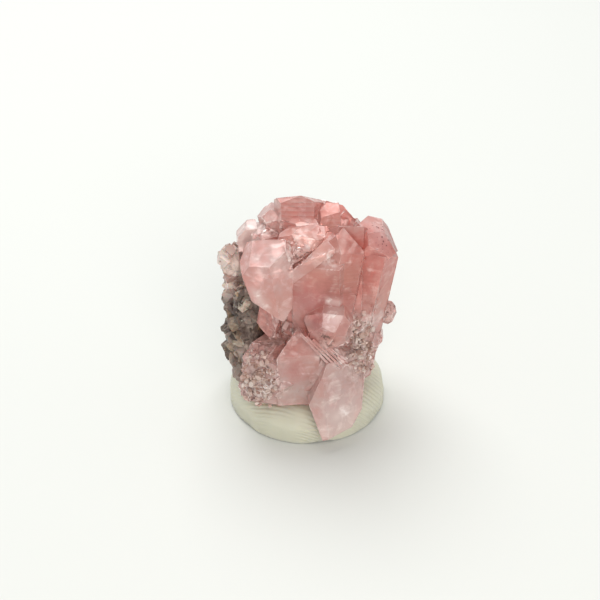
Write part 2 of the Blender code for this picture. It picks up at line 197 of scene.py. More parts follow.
def refine(piece, longest):
    """Splits edges in halves until none that shows is longer than longest."""
    mesh = piece.data
    bpy.ops.object.mode_set(mode="EDIT")
    bpy.ops.mesh.select_mode(type="EDGE")
    bpy.ops.mesh.select_all(action="SELECT")
    make_triangles()
    limit = 12 * longest    # the longest edges go first, so that the triangles stay well shaped
    while limit >= longest:
        for attempt in range(2):
            bpy.ops.mesh.select_all(action="DESELECT")
            bpy.ops.object.mode_set(mode="OBJECT")
            points = read(mesh.vertices, "co", 3)
            ends = read(mesh.edges, "vertices", 2, np.int32)
            first, second = points[ends[:, 0]], points[ends[:, 1]]
            chosen = np.linalg.norm(first - second, axis=1) > limit
            chosen &= ~(out_of_sight(first) & out_of_sight(second))
            mesh.edges.foreach_set("select", chosen)
            bpy.ops.object.mode_set(mode="EDIT")
            if chosen.any():
                bpy.ops.mesh.subdivide(number_cuts=1, quadcorner="INNERVERT")
                bpy.ops.mesh.select_all(action="SELECT")
                make_triangles()
        limit /= 1.5

    # A few slivers come out doubled or open, so they are cut out and the gaps closed again.
    for attempt in range(4):
        select_gaps()
        bpy.ops.mesh.delete(type="EDGE_FACE")
        select_gaps()
        bpy.ops.mesh.fill_holes(sides=0)
        make_triangles()
    bpy.ops.mesh.select_all(action="DESELECT")
    bpy.ops.object.mode_set(mode="OBJECT")


def paint(piece, name, base, spots=()):
    """Stores a value per point: base, plus what each (x, y, z, reach, value) adds near it, in mm."""
    points = read(piece.data.vertices, "co", 3) / MM
    total = np.full(len(points), base, dtype=np.float32)
    for x, y, z, reach, value in spots:
        away = np.linalg.norm(points - np.array((x, y, z)), axis=1) / reach
        total += value * np.exp(-away ** 2)
    layer = piece.data.attributes.new(name, "FLOAT", "POINT")
    layer.data.foreach_set("value", np.clip(total, 0, 1))


def relief(piece, name, kind, size, height, level=0.5, spots=(), **settings):
    """Raises the surface by a texture with features of that size, near the spots if there are any."""
    pattern = bpy.data.textures.new(name, kind)
    pattern.noise_scale = size
    for setting, value in settings.items():
        setattr(pattern, setting, value)
    group = ""
    if spots:
        group = name
        paint(piece, name + "_zone", 0.0, spots)
        zone = read(piece.data.attributes[name + "_zone"].data, "value")
        members = piece.vertex_groups.new(name=name)
        for share in range(1, GROUP_STEPS + 1):
            inside = np.flatnonzero(np.ceil(zone * GROUP_STEPS) == share)
            members.add(inside.tolist(), share / GROUP_STEPS, "REPLACE")
    apply_modifier(piece, "DISPLACE", name, texture=pattern, texture_coords="LOCAL",
                   strength=height, mid_level=level, vertex_group=group)


def keep_inside(piece):
    """Pulls the few points that relief pushed out of the specimen's size box back to it."""
    points = np.clip(read(piece.data.vertices, "co", 3), *cad_box)
    piece.data.vertices.foreach_set("co", points.astype(np.float32).ravel())


crystals = merged_copy("crystal_cluster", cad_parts["calcite_crystals"])

# Each face has its own depth of colour, by chance or, on the large ones, as set here by a place
# on the face in mm and a value.  More is deeper.  The values above 1 and below 0 are painted
# shade and painted highlight: the right face of the head on the right and the faces in the dark
# notch beside it are set far deeper, where they lie in shade, and the knob's top face paler,
# where the light catches it.
SET_FACES_AND_SHADE = (
    (-3.7, -5.8, 21.4, 0.3), (-4.6, -7.0, 18.5, 0.8), (-2.0, -6.8, 18.3, 0.4),
    (-5.8, -5.1, 20.5, 1.0), (-0.9, -0.8, 23.3, 0.5), (2.1, -0.7, 23.1, 0.6),
    (2.3, -1.4, 21.5, 0.8), (3.9, -4.7, 21.7, 0.5), (3.7, -5.1, 17.5, 0.5),
    (0.5, -5.1, 13.7, 0.5), (0.0, -5.6, 20.0, 0.2), (1.7, -4.2, 21.3, 0.3),
    (7.8, -1.9, 20.8, 3.4), (5.9, -2.2, 22.1, 0.4), (7.0, -3.5, 21.0, 0.4),
    (4.0, 0.6, 20.9, 3.0), (3.1, 1.4, 21.5, 3.0), (3.5, -6.7, 8.3, 0.3),
    (1.3, -8.7, 4.3, 0.5), (-3.9, -5.3, 13.0, 1.8), (-1.7, -4.5, 12.0, 1.8),
    (-2.7, -5.0, 12.3, 1.8), (1.2, -6.9, 12.3, 0.4), (0.6, -6.2, 14.0, 0.2),
    (2.2, -6.9, 14.3, 0.3), (2.7, -5.7, 15.0, -1.0), (-0.5, -6.2, 11.3, 0.8),
    (-1.5, -6.6, 6.4, 0.4))

faces = crystals.data.polygons
centres = read(faces, "center", 3)
middles = centres / MM
face_tones_and_shade = np.random.default_rng(7).uniform(0, 1, len(middles))
for x, y, z, value in SET_FACES_AND_SHADE:
    face_tones_and_shade[np.argmin(np.linalg.norm(middles - np.array((x, y, z)), axis=1))] = value
tone_layer = crystals.data.attributes.new("face_tone_and_shade", "FLOAT", "FACE")
tone_layer.data.foreach_set("value", face_tones_and_shade)

# Calcite with a trace of cobalt, its faces as they grew: glassy and nearly clear, so light goes
# in, turns pink on its way and comes out soft.  Its IOR lies between 1.49 and 1.66.
CALCITE_IOR = 1.6
CALCITE_TINT = linear("f0b4aa")
TINT_DENSITY = 20.0
calcite, tree, shader = new_material("cobaltoan_calcite", Roughness=0.18, IOR=CALCITE_IOR)
crystals.data.materials.append(calcite)
crystals.data.materials.append(calcite)     # a second slot, for the worn edges, until they are marked

# Only the edges that stand out are worn.  The creases between two crystals stay sharp.
edge_of = read(crystals.data.loops, "edge_index", 1, np.int32)
face_of = np.repeat(np.arange(len(faces)), read(faces, "loop_total", 1, np.int32))
order = np.argsort(edge_of, kind="stable")
pairs = face_of[order].reshape(-1, 2)
normals = read(faces, "normal", 3)
first_normal, second_normal = normals[pairs[:, 0]], normals[pairs[:, 1]]
across = centres[pairs[:, 1]] - centres[pairs[:, 0]]
stands_out = (across * first_normal).sum(axis=1) < 0
sharp = (first_normal * second_normal).sum(axis=1) < math.cos(STANDING_EDGE)
weights = crystals.data.attributes.new("bevel_weight_edge", "FLOAT", "EDGE")
weights.data.foreach_set("value", (stands_out & sharp).astype(np.float32))
apply_modifier(crystals, "BEVEL", "worn_edges", width=EDGE_WEAR, segments=1, material=1,
               limit_method="WEIGHT", use_clamp_overlap=True)
refine(crystals, FINEST_CRYSTAL)
relief(crystals, "growth_hills", "CLOUDS", size=1.8 * MM, height=0.035 * MM, noise_depth=2)
relief(crystals, "growth_pits", "CLOUDS", size=0.6 * MM, height=0.01 * MM, noise_depth=2)

# Small cleavage steps, where crystals broke off and under the fine crystals: x, y, z, reach and
# how rough, in mm.
BREAKS = (
    (-2.1, -4.6, 21.2, 1.0, 0.6), (-1.5, -5.3, 20.8, 1.1, 1), (-0.7, -4.8, 21.1, 1.1, 0.7),
    (-4.1, -0.9, 20.6, 1.3, 1), (-2.4, -4.6, 12.2, 1.6, 1), (-3.6, -5.4, 13.2, 1.3, 1),
    (-2.9, -0.6, 21.6, 0.9, 1))
ROUGH_GROUND = (
    (2.4, -5.0, 20.0, 0.8, 0.7), (-4.8, -6.3, 7.5, 2.8, 1), (5.2, -4.8, 10.5, 3.2, 1),
    (6.0, -4.3, 7.5, 2.0, 1))
relief(crystals, "broken_steps", "VORONOI", size=0.8 * MM, height=-0.3 * MM, level=0.4,
       spots=BREAKS + ROUGH_GROUND, distance_metric="MANHATTAN")
keep_inside(crystals)
bpy.ops.object.shade_smooth_by_angle(angle=CRISP_EDGE)
# The worn edges are marked, to be painted paler: wear, and a painted highlight along each edge.
worn_and_highlit = read(crystals.data.polygons, "material_index", 1, np.int32)
worn_highlight_layer = crystals.data.attributes.new("worn_edge_highlight", "FLOAT", "FACE")
worn_highlight_layer.data.foreach_set("value", worn_and_highlit.astype(np.float32))
crystals.data.materials.pop(index=1)

# Cobalt: deepest in the middle crystals, pale at the left head, the top rim and the spear.  Part of
# this is painted light: paler on the lit tops of the heads and on the spear, which light reaches
# from all round, and deeper on the right face of the head on the right and on a shaded facet low
# in the middle.
paint(crystals, "cobalt_and_light", 0.36, (
    (3.8, -4.5, 18.5, 3.2, 0.60), (1.0, -5.6, 16.5, 2.6, 0.45), (4.6, -3.5, 21.5, 1.8, 0.45),
    (-0.5, -1.0, 22.5, 3.0, 0.30), (-1.4, -6.7, 8.2, 1.2, 0.40), (-1.8, -6.5, 10.9, 0.6, 0.30),
    (8.1, 0.3, 10.3, 1.4, -0.25), (1.0, -2.0, 22.8, 1.0, 0.30), (2.2, -6.8, 12.8, 2.4, 0.30),
    (6.8, -3.5, 16.0, 4.0, 0.26), (-3.8, -8.0, 18.5, 3.0, 0.08), (1.5, -6.6, 14.0, 1.5, 0.20),
    (-3.7, -5.8, 21.4, 1.8, -0.10), (7.0, -3.0, 21.5, 1.6, -0.22), (-5.8, -5.1, 20.0, 1.6, 0.20),
    (-2.0, -3.0, 21.6, 1.6, 0.15), (4.0, -10.5, 3.5, 4.5, -0.30), (-6.0, 0.5, 20.0, 2.5, -0.30),
    (-4.5, -7.0, 7.0, 3.0, -0.20), (7.8, -1.5, 20.5, 2.5, 0.10), (8.4, -2.7, 20.9, 0.9, 0.50)))

# Frost: etched faces and bruised places, which are milky.  Some spots are also painted highlights: the
# pale top of the knob, where the light catches it, and the thin white streak on the spear.
paint(crystals, "frost_and_highlight", 0.10, (
    (-6.0, 0.0, 20.2, 1.5, 0.32), (6.4, -2.0, 22.2, 1.3, 0.30), (2.2, -5.6, 15.6, 0.5, 0.9),
    (3.0, -5.6, 15.5, 0.5, 0.9), (-4.0, -1.0, 21.2, 1.4, 0.5), (2.0, -5.2, 20.2, 1.2, 0.6),
    (-1.4, -4.4, 21.4, 1.2, 0.4), (-2.0, -8.2, 15.6, 1.2, 0.4), (2.6, -6.8, 15.0, 1.0, 0.9),
    (3.5, -9.6, 4.0, 3.0, 0.35), (-3.8, -6.5, 21.0, 2.4, 0.25), (0.0, -1.5, 22.0, 2.2, 0.25),
    (-5.0, -7.5, 6.0, 2.6, 0.5), (2.9, -8.3, 3.8, 0.4, 0.35), (3.6, -7.9, 3.9, 0.4, 0.35),
    (-4.9, -7.0, 17.8, 0.5, 0.6), (-4.6, -7.1, 17.2, 0.5, 0.6), (-4.2, -7.3, 16.6, 0.5, 0.6),
    (5.2, -5.0, 9.5, 2.4, 0.5), (1.9, -6.6, 9.8, 1.6, 0.25), (5.5, -4.6, 12.0, 1.6, 0.5)))

# Soil: brown inclusions in the knob, and rock dust between the small crystals.
paint(crystals, "soil", 0.0, (
    (1.7, -7.1, 12.5, 0.6, 2.0), (1.9, -7.1, 11.9, 0.5, 2.0), (8.1, 0.3, 10.3, 1.4, 1.4),
    (5.4, -5.4, 10.0, 1.4, 0.6), (-4.5, -5.5, 9.5, 1.8, 0.6), (-2.6, -4.5, 12.0, 1.6, 0.9),
    (-5.6, -6.0, 5.0, 1.6, 0.6), (4.6, -5.2, 7.5, 1.4, 0.6)))

# Growth steps: plainest on the top crystal.
paint(crystals, "stepped", 0.04, (
    (-0.7, -0.9, 22.9, 1.8, 0.95), (2.3, -1.4, 21.5, 1.2, 0.5), (3.7, -5.1, 17.5, 1.8, 0.25),
    (-0.9, -2.8, 21.8, 1.5, 0.5), (5.7, -4.0, 13.3, 2.5, 0.12)))

# The tint leans to mauve where there is more cobalt and to peach where there is iron as well.
paint(crystals, "mauve", 0.0, (
    (0.2, -5.2, 15.4, 1.8, 0.8), (1.5, -6.6, 14.0, 1.5, 0.7), (-0.3, -1.0, 23.0, 0.8, 0.8),
    (-1.4, -6.7, 8.2, 1.6, 0.5), (7.2, -3.2, 21.3, 1.6, 0.7), (-4.0, -6.5, 20.8, 2.0, 0.2),
    (3.2, -7.4, 6.8, 1.6, 0.5), (6.2, -3.8, 13.5, 2.5, 0.15)))
paint(crystals, "peach", 0.0, (
    (-0.7, -3.5, 21.6, 1.8, 0.8), (3.8, -5.0, 18.3, 1.5, 0.7), (1.5, -5.0, 20.6, 1.5, 0.6),
    (0.6, -5.4, 18.6, 1.2, 0.5), (2.3, -1.3, 21.7, 1.2, 0.5), (7.6, -3.2, 14.5, 2.0, 0.7),
    (2.2, -7.0, 12.3, 1.0, 0.6), (-3.4, -7.6, 16.6, 1.4, 0.5)))

# A few dark grains are caught in the head on the right.
paint(crystals, "dotted", 0.0, ((6.8, -2.4, 21.9, 0.9, 1.0), (7.5, -3.6, 20.9, 0.8, 0.9)))

COLOUR_A, COLOUR_B, MIXED = 6, 7, 2     # the sockets of a Mix node that blends colours
WAVE = 0.314                        # over its repeat in metres, this is a Wave texture's scale
GROWTH_ZONE = 2.6 * MM              # how wide the zones, flecks and veils are
FLECK = 0.55 * MM
VEIL = 1.2 * MM
CRACK_LENGTH = MM / 0.3             # cracks run on for about 3 mm, a quarter of one apart
CRACK_GAP = MM / 4.0
GROWTH_STEP = 0.45 * MM             # from one step to the next
STEP_HEIGHT = 0.07 * MM
DUST_PATCH = 0.5 * MM
DOT_GAP = 0.36 * MM                 # from one dark grain to the next; they are under half as wide
SURFACE_GRAIN = 0.5 * MM
STEP_SWING = 0.34                   # how much each thing shifts the depth of colour
FLECK_SWING = 0.11
FACE_SWING = 0.26
DEPTH = 0.7
LEAN = 0.5                          # how far the tint leans to mauve or peach at most
HAZE_BASE = 0.10                    # how milky each thing makes the crystal
CRACK_HAZE = 0.30
FROST_AND_HIGHLIGHT_HAZE = 0.55
WEAR_AND_HIGHLIGHT_HAZE = 0.32


def node(tree, kind, links=(), stops=(), **settings):
    """Adds a node.  links feed or set its sockets, settings set the rest, stops are a ramp's."""
    made = tree.nodes.new("ShaderNode" + kind)
    for name, value in settings.items():
        if hasattr(made, name):
            setattr(made, name, value)
        else:
            made.inputs[name.replace("_", " ")].default_value = value
    for socket, source in dict(links).items():
        if isinstance(source, bpy.types.NodeSocket):
            tree.links.new(source, made.inputs[socket])
        else:
            made.inputs[socket].default_value = source
    for position, colour in stops[1:-1]:
        made.color_ramp.elements.new(position)
    for number, (position, colour) in enumerate(stops):
        made.color_ramp.elements[number].position = position
        made.color_ramp.elements[number].color = linear(colour)
    return made


cobalt_and_light, frost_and_highlight, soil, stepped, mauve, peach, dotted, tone, wear_and_highlight = (
    node(tree, "Attribute", attribute_name=name).outputs["Fac"]
    for name in ("cobalt_and_light", "frost_and_highlight", "soil", "stepped", "mauve", "peach", "dotted", "face_tone_and_shade",
                 "worn_edge_highlight"))
place = node(tree, "TexCoord").outputs["Object"]

# Growth steps: low uneven ridges run across each crystal.
steps = node(tree, "TexWave", {"Vector": place}, bands_direction="Z", wave_profile="SAW",
             Scale=WAVE / GROWTH_STEP, Distortion=4.0, Detail=2.0, Detail_Scale=0.35)
banded = node(tree, "MapRange", {"Value": steps.outputs["Fac"]}, To_Min=-STEP_SWING,
              To_Max=STEP_SWING)
banded = node(tree, "Math", {0: banded.outputs[0], 1: stepped}, operation="MULTIPLY")

# Colour: growth zones a few millimetres across, then each face a little lighter or deeper.  Cobalt
# and the set face values also carry painted shade and painted highlights.
zones = node(tree, "TexNoise", {"Vector": place}, Scale=1 / GROWTH_ZONE, Detail=3.0)
swing = node(tree, "MapRange", {"Value": zones.outputs["Fac"]}, From_Min=0.3, From_Max=0.7,
             To_Min=-0.30, To_Max=0.02)
depth = node(tree, "Math", {0: swing.outputs[0], 1: cobalt_and_light}, operation="ADD")
mottle = node(tree, "TexNoise", {"Vector": place}, Scale=1 / FLECK, Detail=4.0)
flecks = node(tree, "MapRange", {"Value": mottle.outputs["Fac"]}, From_Min=0.3, From_Max=0.7,
              To_Min=-FLECK_SWING, To_Max=FLECK_SWING)
depth = node(tree, "Math", {0: depth.outputs[0], 1: flecks.outputs[0]}, operation="ADD")
depth = node(tree, "Math", {0: depth.outputs[0], 1: banded.outputs[0]}, operation="ADD")
depth = node(tree, "Math", {0: tone, 1: FACE_SWING, 2: depth.outputs[0]},
             operation="MULTIPLY_ADD")
depth = node(tree, "Math", {0: depth.outputs[0], 1: DEPTH}, operation="MULTIPLY")
body = node(tree, "ValToRGB", {"Fac": depth.outputs[0]},
            stops=((0.04, "f7dad4"), (0.35, "f3b3aa"), (0.66, "e78577"), (1.0, "a8564a")))
rosy = node(tree, "Math", {0: mauve, 1: LEAN}, operation="MULTIPLY")
rosy = node(tree, "Mix", {"Factor": rosy.outputs[0], COLOUR_A: body.outputs["Color"],
                          COLOUR_B: linear("dc8e92")}, data_type="RGBA")
warm = node(tree, "Math", {0: peach, 1: LEAN}, operation="MULTIPLY")
warm = node(tree, "Mix", {"Factor": warm.outputs[0], COLOUR_A: rosy.outputs[MIXED],
                          COLOUR_B: linear("f0ac94")}, data_type="RGBA")

# Healed cracks: cloudy veils in the clear crystal.  Frosted faces and worn edges are milky; the same
# milky white also paints highlights along the worn edges and on some lit faces.
veils = node(tree, "TexNoise", {"Vector": place}, Scale=1 / VEIL, Detail=6.0, Roughness=0.55,
             Distortion=0.6)
cloud = node(tree, "MapRange", {"Value": veils.outputs["Fac"]}, From_Min=0.50, From_Max=0.72)
haze = node(tree, "Math", {0: frost_and_highlight, 1: HAZE_BASE}, operation="ADD")
milky = node(tree, "Math", {0: cloud.outputs[0], 1: haze.outputs[0]}, operation="MULTIPLY")
milky = node(tree, "Math", {0: frost_and_highlight, 1: FROST_AND_HIGHLIGHT_HAZE, 2: milky.outputs[0]},
             operation="MULTIPLY_ADD")

# Cleavage: thin flat cracks on two of the slanting planes calcite splits on, in some places.
for number, turn in enumerate(((1.1, 0.5, 0.4), (0.7, -0.6, 1.9))):
    sheets = node(tree, "Mapping", {"Vector": place}, Rotation=turn, Location=(number, 0, 0),
                  Scale=(1 / CRACK_LENGTH, 1 / CRACK_LENGTH, 1 / CRACK_GAP))
    lines = node(tree, "TexNoise", {"Vector": sheets.outputs[0]}, Scale=1.0, Detail=2.0)
    cracks = node(tree, "MapRange", {"Value": lines.outputs["Fac"]}, From_Min=0.54, From_Max=0.72,
                  To_Max=CRACK_HAZE)
    cracks = node(tree, "Math", {0: cracks.outputs[0], 1: cloud.outputs[0]}, operation="MULTIPLY")
    milky = node(tree, "Math", {0: milky.outputs[0], 1: cracks.outputs[0]}, operation="ADD")
# Worn edges: wear, and a painted highlight along each edge, both as milky white.
milky = node(tree, "Math", {0: wear_and_highlight, 1: WEAR_AND_HIGHLIGHT_HAZE, 2: milky.outputs[0]},
             operation="MULTIPLY_ADD", use_clamp=True)
veiled = node(tree, "Mix", {"Factor": milky.outputs[0], COLOUR_A: warm.outputs[MIXED],
                            COLOUR_B: linear("fbf0ec")}, data_type="RGBA")

# A little brown rock dust sits in the hollows between the crystals.
specks = node(tree, "TexNoise", {"Vector": place}, Scale=1 / DUST_PATCH, Detail=6.0, Roughness=0.7)
dust = node(tree, "MapRange", {"Value": specks.outputs["Fac"]}, From_Min=0.47, From_Max=0.60)
dust = node(tree, "Math", {0: dust.outputs[0], 1: soil}, operation="MULTIPLY", use_clamp=True)
dusty = node(tree, "Mix", {"Factor": dust.outputs[0], COLOUR_A: veiled.outputs[MIXED],
                           COLOUR_B: linear("7c5246")}, data_type="RGBA")
cells = node(tree, "TexVoronoi", {"Vector": place}, Scale=1 / DOT_GAP)
dots = node(tree, "MapRange", {"Value": cells.outputs["Distance"]}, From_Min=0.32, From_Max=0.18)
dots = node(tree, "Math", {0: dots.outputs[0], 1: dotted}, operation="MULTIPLY", use_clamp=True)
dotty = node(tree, "Mix", {"Factor": dots.outputs[0], COLOUR_A: dusty.outputs[MIXED],
                           COLOUR_B: linear("5e3638")}, data_type="RGBA")
tree.links.new(dotty.outputs[MIXED], shader.inputs["Base Color"])

# What is milky is also less clear.
clear = node(tree, "MapRange", {"Value": milky.outputs[0]}, To_Min=0.55, To_Max=0.15)
tree.links.new(clear.outputs[0], shader.inputs["Transmission Weight"])

grain = node(tree, "TexNoise", {"Vector": place}, Scale=1 / SURFACE_GRAIN, Detail=5.0,
             Roughness=0.6)
step_bump = node(tree, "Bump", {"Height": steps.outputs["Fac"], "Strength": stepped},
                 Distance=STEP_HEIGHT)
bump = node(tree, "Bump", {"Height": grain.outputs["Fac"], "Normal": step_bump.outputs["Normal"]},
            Strength=0.25, Distance=0.01 * MM)
tree.links.new(bump.outputs["Normal"], shader.inputs["Normal"])
absorb = node(tree, "VolumeAbsorption", Color=CALCITE_TINT, Density=TINT_DENSITY)
tree.links.new(absorb.outputs[0], tree.nodes["Material Output"].inputs["Volume"])
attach(crystals, "root")
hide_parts("calcite_crystals")

# ---- The rock ------------------------------------------------------------------------------
# A rind of the cavity wall that the crystals grew on: grey-brown weathered dolomite, broken off
# by hand, so it is rough and crumbly, with pits, shade painted dark brown into its hollows, and
# patches of ochre and of pale spar.

FINEST_ROCK = 0.14 * MM
BLOCK = 1.1 * MM
CRUMB = 0.5 * MM
ROCK_PATCH = 2.2 * MM
ROCK_MOTTLE = 0.45 * MM
RUST_PATCH = 3.0 * MM
MOTTLE_SHARE = 0.55
PIT_DEPTH = 0.05 * MM
HOLLOW_SHADE = linear("46302a")

# Places of pale spar and of hollows with shade painted dark brown in them: x, y, z, reach and
# strength, in mm.
SPAR = ((-7.5, 0.4, 17.0, 1.8, 1.0), (-8.2, 0.4, 15.0, 1.6, 1.0), (-7.4, -0.2, 13.2, 1.3, 0.7),
        (-6.0, -4.5, 8.6, 1.0, 0.6), (-7.4, -1.0, 5.5, 1.4, 0.5), (-6.5, -3.5, 5.0, 1.6, 0.5))
SHADED_HOLLOWS = ((-7.2, -0.9, 11.9, 1.0, 1.0), (-6.6, -3.4, 11.2, 1.0, 0.7), (-7.8, 1.0, 7.6, 1.0, 0.6),
           (-8.6, 2.6, 12.0, 0.8, 0.6), (-6.9, -2.2, 9.4, 0.8, 0.6))

rock = merged_copy("matrix_rock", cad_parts["matrix"])
apply_modifier(rock, "REMESH", "even_skin", mode="VOXEL", voxel_size=FINEST_ROCK)
relief(rock, "broken_blocks", "VORONOI", size=BLOCK, height=-0.35 * MM, level=0.3)
relief(rock, "crumble", "CLOUDS", size=CRUMB, height=0.22 * MM, level=0.55, noise_depth=3)
keep_inside(rock)
bpy.ops.object.shade_smooth_by_angle(angle=math.radians(35))

# Weathered dolomite, freshly broken in places: dull, mottled grey-brown, stained with rust.
stone, tree, shader = new_material("weathered_dolomite", Roughness=0.75)
rock.data.materials.append(stone)
paint(rock, "spar", 0.0, SPAR)
paint(rock, "hollow_shade", 0.0, SHADED_HOLLOWS)
sparry, hollow_shade = (node(tree, "Attribute", attribute_name=name).outputs["Fac"]
                  for name in ("spar", "hollow_shade"))
place = node(tree, "TexCoord").outputs["Object"]
patches = node(tree, "TexNoise", {"Vector": place}, Scale=1 / ROCK_PATCH, Detail=5.0,
               Roughness=0.65)
mottle = node(tree, "TexNoise", {"Vector": place}, Scale=1 / ROCK_MOTTLE, Detail=6.0,
              Roughness=0.7)
blend = node(tree, "Math", {0: mottle.outputs["Fac"], 1: MOTTLE_SHARE, 2: patches.outputs["Fac"]},
             operation="MULTIPLY_ADD")
ground = node(tree, "ValToRGB", {"Fac": blend.outputs[0]},
              stops=((0.56, "34261f"), (0.72, "796961"), (0.86, "a8978b"), (1.0, "d6cabd")))
rust = node(tree, "TexNoise", {"Vector": place}, Scale=1 / RUST_PATCH, Detail=4.0, Roughness=0.6)
rusty = node(tree, "MapRange", {"Value": rust.outputs["Fac"]}, From_Min=0.58, From_Max=0.70,
             To_Max=0.7)
stained = node(tree, "Mix", {"Factor": rusty.outputs[0], COLOUR_A: ground.outputs["Color"],
                             COLOUR_B: linear("b48a55")}, data_type="RGBA")
pale = node(tree, "ValToRGB", {"Fac": blend.outputs[0]}, stops=((0.5, "ac8c80"), (0.9, "f4dbd0")))
skin = node(tree, "Mix", {"Factor": sparry, COLOUR_A: stained.outputs[MIXED],
                          COLOUR_B: pale.outputs["Color"]}, data_type="RGBA")
# Painted shade: the hollows are painted dark brown.
skin = node(tree, "Mix", {"Factor": hollow_shade, COLOUR_A: skin.outputs[MIXED],
                          COLOUR_B: HOLLOW_SHADE}, data_type="RGBA")
tree.links.new(skin.outputs[MIXED], shader.inputs["Base Color"])
pits = node(tree, "Bump", {"Height": mottle.outputs["Fac"]}, Strength=0.6, Distance=PIT_DEPTH)
tree.links.new(pits.outputs["Normal"], shader.inputs["Normal"])
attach(rock, "root")
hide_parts("matrix")

# ---- Grains on the rock --------------------------------------------------------------------
# Crushed grains of rock and spar stick to the weathered side.  They are blocky cleavage chips,
# half sunk into the rind, and they bridge the seam where the crystals start.

GRAIN_COUNT = 1700
GRAIN_SIZES = (0.25 * MM, 1.7 * MM)
GRAIN_MOTTLE = 0.3 * MM
CORNER_CUT = 0.56                   # from the middle of a grain that is 1 across
ABOVE_PAD = 4.2 * MM
RIND_START = 2.6 * MM               # along PARTING, where the rind's outer skin starts
STRETCH_MIN = (0.8, 0.6, 0.35)
STRETCH_MAX = (1.4, 1.0, 0.8)

bpy.ops.object.select_all(action="DESELECT")
bpy.ops.mesh.primitive_cube_add(size=1)
chip = bpy.context.object
bpy.ops.object.mode_set(mode="EDIT")
for corner in ((0.7, 0.5, 0.5), (-0.6, 0.6, 0.3), (0.4, -0.7, 0.4), (-0.5, -0.4, 0.8),
               (0.5, 0.5, -0.6), (-0.3, 0.8, -0.5)):
    outward = Vector(corner).normalized()
    bpy.ops.mesh.select_all(action="SELECT")
    bpy.ops.mesh.bisect(plane_co=outward * CORNER_CUT, plane_no=outward, use_fill=True,
                        clear_outer=True)
bpy.ops.object.mode_set(mode="OBJECT")


def surface_spots(piece, count, seed, wanted):
    """Seeded places on a piece's surface, with their outward directions, where wanted is true."""
    faces = piece.data.polygons
    middles, outs = read(faces, "center", 3), read(faces, "normal", 3)
    weight = read(faces, "area") * wanted(middles)
    picked = np.random.default_rng(seed).choice(len(faces), count, p=weight / weight.sum())
    return middles[picked], outs[picked]


def sprinkle(name, model, places, sizes, sunk, tilt, seed):
    """Copies of a model set on a surface, each turned and stretched by seeded numbers, as one mesh."""
    spread = np.random.default_rng(seed)
    copies = []
    for middle, out in zip(*places):
        size = sizes[0] + (sizes[1] - sizes[0]) * spread.uniform() ** 2
        twist = Matrix.Rotation(spread.uniform(0, 2 * math.pi), 4, "Z")
        lean = Matrix.Rotation(spread.normal(0, tilt), 4, "X")
        upright = Vector(out).to_track_quat("Z", "Y").to_matrix().to_4x4()
        stretch = Matrix.Diagonal((*spread.uniform(STRETCH_MIN, STRETCH_MAX), 1))
        start = Matrix.Translation(Vector(middle) - Vector(out) * size * sunk)
        copy = bpy.data.objects.new(name, model.data.copy())
        copy.data.transform(start @ upright @ lean @ twist @ stretch @ Matrix.Scale(size, 4))
        shade = copy.data.attributes.new("grain_tone", "FLOAT", "FACE")
        shade.data.foreach_set("value", np.full(len(copy.data.polygons), spread.uniform()))
        bpy.context.scene.collection.objects.link(copy)
        copies.append(copy)
    join(copies)
    copies[0].name = name
    keep_inside(copies[0])
    return copies[0]


def join(pieces):
    """Makes several pieces one mesh, in the first of them."""
    bpy.ops.object.select_all(action="DESELECT")
    for piece in pieces:
        piece.select_set(True)
    bpy.context.view_layer.objects.active = pieces[0]
    bpy.ops.object.join()


def rock_face(middles):
    """The rind's outer skin, above the putty."""
    skin = middles @ np.array(PARTING) > RIND_START
    return skin & (middles[:, 2] > ABOVE_PAD) & ~out_of_sight(middles)


grains = sprinkle("rock_grains", chip, surface_spots(rock, GRAIN_COUNT, 21, rock_face),
                  GRAIN_SIZES, sunk=0.32, tilt=0.5, seed=22)

# Crushed rock and spar, split along flat planes: each grain has its own tone, and spar lets a
# little light in.
crushed, tree, shader = new_material("crushed_spar", Roughness=0.5, Subsurface_Weight=0.25,
                                     Subsurface_Scale=0.0005)
grains.data.materials.append(crushed)
paint(grains, "spar", 0.0, SPAR)
paint(grains, "hollow_shade", 0.0, SHADED_HOLLOWS)
sparry, hollow_shade, tone = (node(tree, "Attribute", attribute_name=name).outputs["Fac"]
                        for name in ("spar", "hollow_shade", "grain_tone"))
place = node(tree, "TexCoord").outputs["Object"]
kinds = node(tree, "ValToRGB", {"Fac": tone},
             stops=((0.0, "3e312b"), (0.25, "6a5b51"), (0.75, "9f9085"), (0.92, "a98f72"),
                    (1.0, "e6dad0")))
mottle = node(tree, "TexNoise", {"Vector": place}, Scale=1 / GRAIN_MOTTLE, Detail=5.0,
              Roughness=0.7)
shade = node(tree, "MapRange", {"Value": mottle.outputs["Fac"]}, From_Min=0.3, From_Max=0.7,
             To_Min=0.55, To_Max=1.25)
coat = node(tree, "Mix", {"Factor": 1.0, COLOUR_A: kinds.outputs["Color"],
                          COLOUR_B: shade.outputs[0]}, data_type="RGBA", blend_type="MULTIPLY")
pale = node(tree, "ValToRGB", {"Fac": tone}, stops=((0.0, "b8958a"), (1.0, "f6ddd4")))
skin = node(tree, "Mix", {"Factor": sparry, COLOUR_A: coat.outputs[MIXED],
                          COLOUR_B: pale.outputs["Color"]}, data_type="RGBA")
# Painted shade: the hollows are painted dark brown here too.
skin = node(tree, "Mix", {"Factor": hollow_shade, COLOUR_A: skin.outputs[MIXED],
                          COLOUR_B: HOLLOW_SHADE}, data_type="RGBA")
tree.links.new(skin.outputs[MIXED], shader.inputs["Base Color"])
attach(grains, "root")
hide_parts("matrix")

# ---- Fine crystals and chips ---------------------------------------------------------------
# Late, small calcite points make a glittering crust at the lower left and beside the right stem,
# and a few line the seam with the rock.  Cleavage chips are left where crystals broke off.

